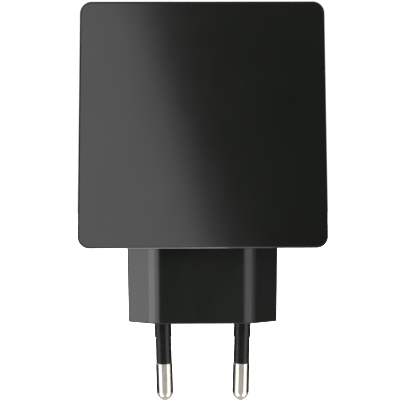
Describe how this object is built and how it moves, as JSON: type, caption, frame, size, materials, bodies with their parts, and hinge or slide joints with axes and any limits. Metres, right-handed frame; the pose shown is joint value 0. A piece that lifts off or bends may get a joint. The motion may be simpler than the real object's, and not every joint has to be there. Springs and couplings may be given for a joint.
{
  "type": "usb wall charger",
  "caption": "Flat, slightly tapered black mains charger on a hexagonal two-pin plug neck, with USB sockets in the end opposite the pins.",
  "frame": {"origin": "centre of the plug's flat engagement face, midway between the two pins", "axes": "+Z from the plug towards the USB end, with the pins pointing to -Z; -Y out of the plain front face; +X to the right as the front is seen"},
  "size_m": [0.0572, 0.028, 0.093],
  "materials": {
    "case_plastic": "black, satin moulding",
    "panel_plastic": "black, fine grain",
    "sleeve_plastic": "black insulation",
    "pin_metal": "bright nickel plate",
    "spring_brass": "stamped strip",
    "light_pipe": "clear polycarbonate",
    "label_film": "blank printed film",
    "retainer_plastic": "natural nylon",
    "board_green": "solder mask on glass epoxy",
    "solder_tin": "bright tin",
    "shell_steel": "plated drawn steel",
    "insulator_white": "white thermoplastic",
    "epoxy_black": "moulded epoxy",
    "epoxy_blue": "dipped epoxy",
    "film_yellow": "polyester tape",
    "ferrite": "sintered ferrite",
    "core_green": "coated ring core",
    "copper_wire": "enamelled copper",
    "can_sleeve": "shrink sleeve",
    "can_aluminium": "bare can",
    "barrier_sheet": "folded insulating sheet",
    "opto_white": "moulded package",
    "led_package": "white package"
  },
  "bodies": {
    "charger": {"front_cover": "case_plastic", "rear_cover": "case_plastic", "port_panel": "panel_plastic", "light_pipe": "light_pipe", "rating_label": "label_film", "plug_block": "case_plastic", "pin_retainer": "retainer_plastic", "contact_leaf_left": "spring_brass", "contact_leaf_right": "spring_brass", "main_board": "board_green", "solder_joints": "solder_tin", "fuse": "epoxy_black", "varistor": "epoxy_blue", "x_capacitor": "film_yellow", "choke_core": "core_green", "choke_windings": "copper_wire", "bridge_rectifier": "epoxy_black", "bulk_capacitor_1": "can_sleeve", "bulk_capacitor_2": "can_sleeve", "transformer_core": "ferrite", "transformer_bobbin": "epoxy_black", "transformer_winding": "film_yellow", "controller_chip": "epoxy_black", "y_capacitor": "epoxy_blue", "optocoupler": "opto_white", "insulation_barrier": "barrier_sheet", "output_rectifier": "epoxy_black", "heat_sink": "can_aluminium", "output_capacitor_1": "can_aluminium", "output_capacitor_2": "can_aluminium", "usb_board": "board_green", "usb_contact_tails": "spring_brass", "charge_chips": "epoxy_black", "status_led": "led_package", "usb_shell_1": "shell_steel", "usb_shell_2": "shell_steel", "usb_shell_3": "shell_steel", "usb_shell_4": "shell_steel", "usb_insulator_1": "insulator_white", "usb_insulator_2": "insulator_white", "usb_insulator_3": "insulator_white", "usb_insulator_4": "insulator_white"},
    "pin_left_unit": {"pin_left": "pin_metal", "pin_sleeve_left": "sleeve_plastic"},
    "pin_right_unit": {"pin_right": "pin_metal", "pin_sleeve_right": "sleeve_plastic"},
    "contacts_1": {"usb_contacts_1": "spring_brass"},
    "contacts_2": {"usb_contacts_2": "spring_brass"},
    "contacts_3": {"usb_contacts_3": "spring_brass"},
    "contacts_4": {"usb_contacts_4": "spring_brass"}
  },
  "joints": [
    {"name": "pin_left_flex", "type": "hinge", "parent": "charger", "child": "pin_left_unit", "pos_m": [-0.00953, 0, 0], "axis": [0, 1, 0], "range_deg": [0, 1.6], "stiffness_Nm_per_rad": 2},
    {"name": "pin_right_flex", "type": "hinge", "parent": "charger", "child": "pin_right_unit", "pos_m": [0.00953, 0, 0], "axis": [0, -1, 0], "range_deg": [0, 1.6], "stiffness_Nm_per_rad": 2},
    {"name": "contacts_1_press", "type": "hinge", "parent": "charger", "child": "contacts_1", "pos_m": [-0.0155, 0, 0.0634], "axis": [0, 1, 0], "range_deg": [0, 2], "stiffness_Nm_per_rad": 0.8},
    {"name": "contacts_2_press", "type": "hinge", "parent": "charger", "child": "contacts_2", "pos_m": [-0.0049, 0, 0.0634], "axis": [0, 1, 0], "range_deg": [0, 2], "stiffness_Nm_per_rad": 0.8},
    {"name": "contacts_3_press", "type": "hinge", "parent": "charger", "child": "contacts_3", "pos_m": [0.0057, 0, 0.0634], "axis": [0, 1, 0], "range_deg": [0, 2], "stiffness_Nm_per_rad": 0.8},
    {"name": "contacts_4_press", "type": "hinge", "parent": "charger", "child": "contacts_4", "pos_m": [0.0163, 0, 0.0634], "axis": [0, 1, 0], "range_deg": [0, 2], "stiffness_Nm_per_rad": 0.8}
  ]
}
